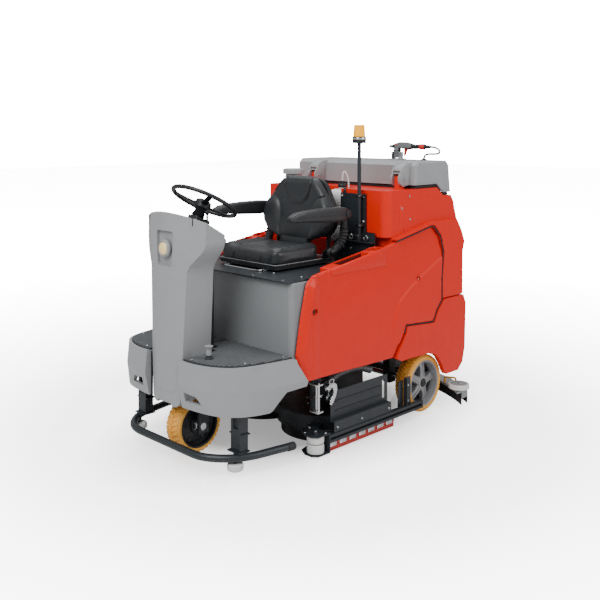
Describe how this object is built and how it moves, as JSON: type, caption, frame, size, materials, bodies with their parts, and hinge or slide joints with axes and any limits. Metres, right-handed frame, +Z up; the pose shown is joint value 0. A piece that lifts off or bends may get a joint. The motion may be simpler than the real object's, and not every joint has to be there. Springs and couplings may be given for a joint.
{
  "type": "ride on scrubber",
  "caption": "Ride-on scrubber drier with steered drive wheel, seat over the battery box, scrub deck between the axles, rear tank and trailing squeegee.",
  "frame": {"origin": "on the floor, on the centre plane, at the middle of the overall length", "axes": "+X to the machine's left, -Y forward, +Z up"},
  "size_m": [1.238, 2.0457, 1.709],
  "materials": {
    "amber": "clear moulded",
    "battery": "moulded",
    "black_plastic": "grained",
    "black_steel": "satin powder coat",
    "box_grey": "satin",
    "cast_grey": "cast",
    "grey_shell": "fine grain",
    "handle_yellow": "gloss",
    "lamp_white": "clear lens",
    "lid_grey": "fine grain",
    "mat_rubber": "ribbed",
    "milky": "translucent",
    "motor_grey": "satin",
    "red_shell": "semi gloss",
    "seat_vinyl": "grained vinyl",
    "skirt_red": "matte",
    "steel": "bright",
    "trigger_red": "gloss",
    "wheel_yellow": "solid polyurethane",
    "white_plastic": "nylon"
  },
  "bodies": {
    "chassis": {"chassis_frame": "black_steel", "rear_axle": "steel", "front_bumper": "black_steel", "bumper_glides": "white_plastic", "step_platform": "grey_shell", "step_mats": "mat_rubber", "column_cover": "grey_shell", "headlight": "lamp_white", "dashboard": "black_plastic", "seat_box": "box_grey", "battery_pack": "battery", "seat_deck_plate": "black_steel", "rear_tank": "red_shell", "vacuum_motor": "motor_grey", "rear_fenders": "red_shell", "pole_bracket": "black_steel", "beacon_pole": "black_steel", "beacon_lens": "amber", "cover_screws": "steel", "detergent_canister": "milky"},
    "steering": {"steering_wheel": "black_plastic"},
    "drive_fork": {"drive_unit": "black_steel"},
    "drive_wheel": {"drive_rim": "black_plastic", "drive_tyre": "wheel_yellow"},
    "rear_left_wheel": {"rear_left_rim": "cast_grey", "rear_left_tyre": "wheel_yellow"},
    "rear_right_wheel": {"rear_right_rim": "cast_grey", "rear_right_tyre": "wheel_yellow"},
    "lever": {"direction_lever": "black_plastic"},
    "accelerator": {"accelerator_pedal": "mat_rubber"},
    "switch": {"foot_switch": "lid_grey"},
    "latch": {"latch_handle": "steel"},
    "seat": {"seat_base": "black_steel", "seat_cushion": "seat_vinyl"},
    "backrest": {"backrest_shell": "black_plastic", "backrest_cushion": "seat_vinyl"},
    "armrest_l": {"left_armrest": "seat_vinyl"},
    "armrest_r": {"right_armrest": "seat_vinyl"},
    "lid": {"tank_lid": "lid_grey", "lid_seal": "mat_rubber", "lid_hinge_pins": "steel"},
    "fill_cap": {"filler_cap": "lid_grey"},
    "gun": {"spray_gun": "black_plastic", "spray_hose": "lid_grey"},
    "trigger": {"gun_trigger": "trigger_red"},
    "squeegee": {"squeegee_frame": "cast_grey", "squeegee_blades": "mat_rubber", "squeegee_handles": "handle_yellow"},
    "squeegee_wheel_l": {"left_squeegee_roller": "white_plastic"},
    "squeegee_wheel_r": {"right_squeegee_roller": "white_plastic"},
    "deck": {"brush_deck": "black_steel", "brush_motors": "motor_grey", "deck_skirts": "skirt_red"},
    "brush_l": {"left_brush": "black_plastic"},
    "brush_r": {"right_brush": "black_plastic"},
    "guide_l": {"left_guide_roller": "white_plastic"},
    "guide_r": {"right_guide_roller": "white_plastic"},
    "panel_l": {"left_side_panel": "red_shell"},
    "panel_r": {"right_side_panel": "red_shell"}
  },
  "joints": [
    {"name": "steering_turn", "type": "hinge", "parent": "chassis", "child": "steering", "pos_m": [0, -0.75, 1.3], "axis": [0, 0.5, 0.866], "range_deg": [-175, 175]},
    {"name": "drive_steer", "type": "hinge", "parent": "chassis", "child": "drive_fork", "pos_m": [0, -0.82, 0.4], "axis": [0, 0, 1], "range_deg": [-70, 70]},
    {"name": "drive_spin", "type": "hinge", "parent": "drive_fork", "child": "drive_wheel", "pos_m": [0, -0.82, 0.145], "axis": [1, 0, 0], "continuous": true},
    {"name": "rear_left_spin", "type": "hinge", "parent": "chassis", "child": "rear_left_wheel", "pos_m": [0.45, 0.52, 0.17], "axis": [1, 0, 0], "continuous": true},
    {"name": "rear_right_spin", "type": "hinge", "parent": "chassis", "child": "rear_right_wheel", "pos_m": [-0.45, 0.52, 0.17], "axis": [1, 0, 0], "continuous": true},
    {"name": "lever_turn", "type": "hinge", "parent": "chassis", "child": "lever", "pos_m": [0.055, -0.786, 1.196], "axis": [1, 0, 0], "range_deg": [-20, 20]},
    {"name": "accelerator_press", "type": "hinge", "parent": "chassis", "child": "accelerator", "pos_m": [-0.175, -0.64, 0.557], "axis": [1, 0, 0], "range_deg": [0, 14]},
    {"name": "foot_switch_press", "type": "slide", "parent": "chassis", "child": "switch", "axis": [0, 0, 1], "range_m": [-0.02, 0]},
    {"name": "latch_turn", "type": "hinge", "parent": "chassis", "child": "latch", "pos_m": [0.496, -0.33, 0.33], "axis": [1, 0, 0], "range_deg": [0, 75]},
    {"name": "seat_slide", "type": "slide", "parent": "chassis", "child": "seat", "axis": [0, 1, 0], "range_m": [-0.06, 0]},
    {"name": "backrest_recline", "type": "hinge", "parent": "seat", "child": "backrest", "pos_m": [0, -0.012, 0.985], "axis": [1, 0, 0], "range_deg": [-8, 10]},
    {"name": "left_armrest_fold", "type": "hinge", "parent": "backrest", "child": "armrest_l", "pos_m": [0.32, 0.01, 1.205], "axis": [1, 0, 0], "range_deg": [-75, 0]},
    {"name": "right_armrest_fold", "type": "hinge", "parent": "backrest", "child": "armrest_r", "pos_m": [-0.32, 0.01, 1.205], "axis": [1, 0, 0], "range_deg": [-75, 0]},
    {"name": "lid_open", "type": "hinge", "parent": "chassis", "child": "lid", "pos_m": [0, 0.385, 1.388], "axis": [1, 0, 0], "range_deg": [0, 70]},
    {"name": "filler_cap_turn", "type": "hinge", "parent": "chassis", "child": "fill_cap", "pos_m": [-0.3, 0.212, 1.39], "axis": [0, 0, 1], "range_deg": [0, 120]},
    {"name": "gun_lift", "type": "slide", "parent": "lid", "child": "gun", "axis": [0, 0, 1], "range_m": [0, 0.06]},
    {"name": "trigger_pull", "type": "hinge", "parent": "gun", "child": "trigger", "pos_m": [0.244, 0.66, 1.572], "axis": [0, 1, 0], "range_deg": [0, 15]},
    {"name": "squeegee_lift", "type": "hinge", "parent": "chassis", "child": "squeegee", "pos_m": [0, 0.735, 0.28], "axis": [1, 0, 0], "range_deg": [0, 15]},
    {"name": "squeegee_left_spin", "type": "hinge", "parent": "squeegee", "child": "squeegee_wheel_l", "pos_m": [0.556, 0.792, 0.109], "axis": [0, 0, 1], "continuous": true},
    {"name": "squeegee_right_spin", "type": "hinge", "parent": "squeegee", "child": "squeegee_wheel_r", "pos_m": [-0.556, 0.792, 0.109], "axis": [0, 0, 1], "continuous": true},
    {"name": "deck_lift", "type": "slide", "parent": "chassis", "child": "deck", "axis": [0, 0, 1], "range_m": [0, 0.06]},
    {"name": "left_brush_spin", "type": "hinge", "parent": "deck", "child": "brush_l", "pos_m": [0.248, -0.09, 0.07], "axis": [0, 0, 1], "continuous": true},
    {"name": "right_brush_spin", "type": "hinge", "parent": "deck", "child": "brush_r", "pos_m": [-0.248, -0.09, 0.07], "axis": [0, 0, 1], "continuous": true},
    {"name": "left_guide_spin", "type": "hinge", "parent": "deck", "child": "guide_l", "pos_m": [0.5, -0.418, 0.06], "axis": [0, 0, 1], "continuous": true},
    {"name": "right_guide_spin", "type": "hinge", "parent": "deck", "child": "guide_r", "pos_m": [-0.5, -0.418, 0.06], "axis": [0, 0, 1], "continuous": true},
    {"name": "left_panel_off", "type": "slide", "parent": "chassis", "child": "panel_l", "axis": [1, 0, 0], "range_m": [0, 0.05]},
    {"name": "right_panel_off", "type": "slide", "parent": "chassis", "child": "panel_r", "axis": [-1, 0, 0], "range_m": [0, 0.05]}
  ],
  "couplings": [
    {"joint": "drive_steer", "follows": "steering_turn", "ratio": 0.4}
  ]
}
